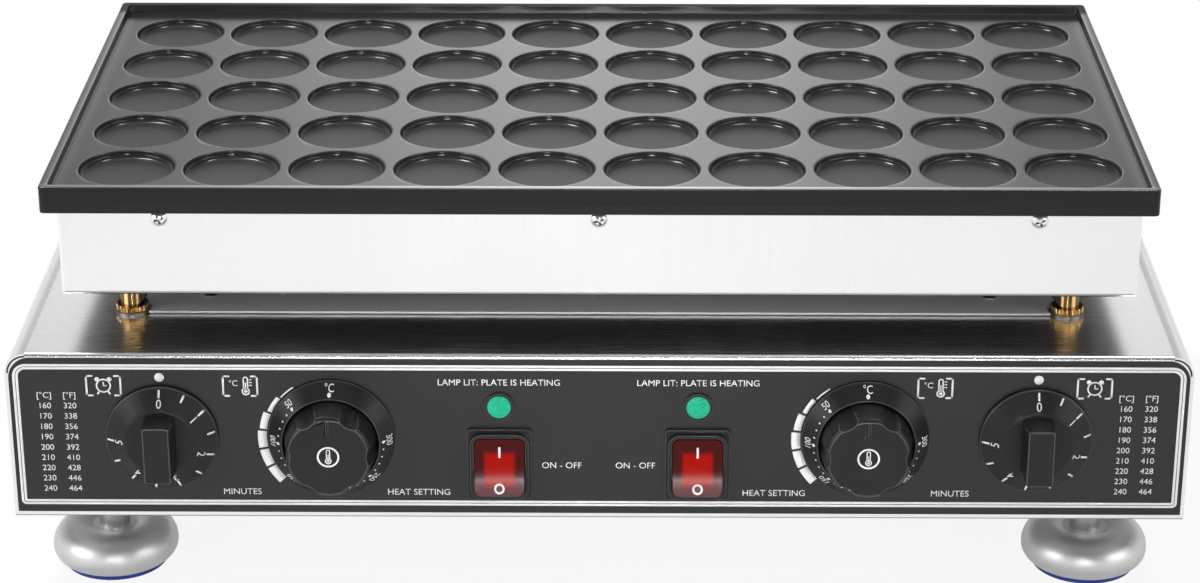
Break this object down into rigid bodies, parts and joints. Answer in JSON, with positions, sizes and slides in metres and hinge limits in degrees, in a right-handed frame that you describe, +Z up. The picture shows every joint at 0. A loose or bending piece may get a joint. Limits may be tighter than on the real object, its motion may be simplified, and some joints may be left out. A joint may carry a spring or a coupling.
{
  "type": "mini pancake maker",
  "caption": "Electric countertop mini pancake maker: a cast plate of round dished moulds on a heated head, over a folded steel control body with timers and thermostats.",
  "frame": {"origin": "on the floor under the middle of the whole object's box", "axes": "+X to the right seen from the controls, +Y away from the user, +Z up"},
  "size_m": [0.56, 0.347, 0.208],
  "materials": {
    "cast_aluminium": "grey non-stick coating, satin",
    "brushed_steel": "brushed stainless sheet",
    "bare_steel": "plain steel",
    "heater_steel": "darkened heater sheath",
    "brass": "turned brass",
    "copper": "copper tube",
    "overlay": "printed film",
    "black_plastic": "moulded, matt",
    "white_plastic": "moulded, matt",
    "ceramic": "ceramic or rigid fibre board",
    "red_lens": "translucent, glossy",
    "green_lens": "translucent, glossy",
    "foot_steel": "satin",
    "blue_rubber": "soft pad"
  },
  "bodies": {
    "cooker": {"baking_plate": "cast_aluminium", "upper_housing": "brushed_steel", "housing_floor": "bare_steel", "housing_screws": "bare_steel", "heater_clamps": "bare_steel", "clamp_bolts": "bare_steel", "bulb_clips": "bare_steel", "insulation_board": "ceramic", "standoffs": "brass", "standoff_nuts": "brass", "standoff_washers": "bare_steel", "standoff_locknuts": "brass", "heat_shield": "bare_steel", "lower_cover": "brushed_steel", "rear_panel": "brushed_steel", "base_plate": "bare_steel", "panel_screws": "bare_steel", "control_overlay": "overlay", "control_screws": "bare_steel", "terminal_block": "ceramic", "cable_gland": "black_plastic", "gland_nut": "black_plastic", "foot_nuts": "bare_steel", "heater_left": "heater_steel", "sensor_left": "copper", "timer_left": "white_plastic", "thermostat_left": "ceramic", "thermostat_dial_left": "black_plastic", "lamp_left": "black_plastic", "lamp_lens_left": "green_lens", "switch_left": "black_plastic", "heater_right": "heater_steel", "sensor_right": "copper", "timer_right": "white_plastic", "thermostat_right": "ceramic", "thermostat_dial_right": "black_plastic", "lamp_right": "black_plastic", "lamp_lens_right": "green_lens", "switch_right": "black_plastic"},
    "timer_dial_left": {"timer_knob_left": "black_plastic", "timer_shaft_left": "bare_steel"},
    "thermostat_grip_left": {"thermostat_knob_left": "black_plastic", "thermostat_shaft_left": "bare_steel"},
    "switch_rocker_left": {"rocker_left": "red_lens"},
    "timer_dial_right": {"timer_knob_right": "black_plastic", "timer_shaft_right": "bare_steel"},
    "thermostat_grip_right": {"thermostat_knob_right": "black_plastic", "thermostat_shaft_right": "bare_steel"},
    "switch_rocker_right": {"rocker_right": "red_lens"},
    "foot_front_left": {"foot_front_left": "foot_steel", "pad_front_left": "blue_rubber"},
    "foot_front_right": {"foot_front_right": "foot_steel", "pad_front_right": "blue_rubber"},
    "foot_rear_left": {"foot_rear_left": "foot_steel", "pad_rear_left": "blue_rubber"},
    "foot_rear_right": {"foot_rear_right": "foot_steel", "pad_rear_right": "blue_rubber"}
  },
  "joints": [
    {"name": "timer_left_turn", "type": "hinge", "parent": "cooker", "child": "timer_dial_left", "pos_m": [-0.207, -0.15, 0.0875], "axis": [0, -1, 0], "range_deg": [0, 270]},
    {"name": "thermostat_left_turn", "type": "hinge", "parent": "cooker", "child": "thermostat_grip_left", "pos_m": [-0.1265, -0.15, 0.0875], "axis": [0, -1, 0], "range_deg": [0, 285]},
    {"name": "switch_left_rock", "type": "hinge", "parent": "cooker", "child": "switch_rocker_left", "pos_m": [-0.047, -0.1524, 0.074], "axis": [1, 0, 0], "range_deg": [0, 24]},
    {"name": "timer_right_turn", "type": "hinge", "parent": "cooker", "child": "timer_dial_right", "pos_m": [0.207, -0.15, 0.0875], "axis": [0, -1, 0], "range_deg": [0, 270]},
    {"name": "thermostat_right_turn", "type": "hinge", "parent": "cooker", "child": "thermostat_grip_right", "pos_m": [0.1265, -0.15, 0.0875], "axis": [0, -1, 0], "range_deg": [0, 285]},
    {"name": "switch_right_rock", "type": "hinge", "parent": "cooker", "child": "switch_rocker_right", "pos_m": [0.047, -0.1524, 0.074], "axis": [1, 0, 0], "range_deg": [0, 24]},
    {"name": "foot_front_left_level", "type": "slide", "parent": "cooker", "child": "foot_front_left", "axis": [0, 0, -1], "range_m": [0, 0.008]},
    {"name": "foot_front_right_level", "type": "slide", "parent": "cooker", "child": "foot_front_right", "axis": [0, 0, -1], "range_m": [0, 0.008]},
    {"name": "foot_rear_left_level", "type": "slide", "parent": "cooker", "child": "foot_rear_left", "axis": [0, 0, -1], "range_m": [0, 0.008]},
    {"name": "foot_rear_right_level", "type": "slide", "parent": "cooker", "child": "foot_rear_right", "axis": [0, 0, -1], "range_m": [0, 0.008]}
  ]
}
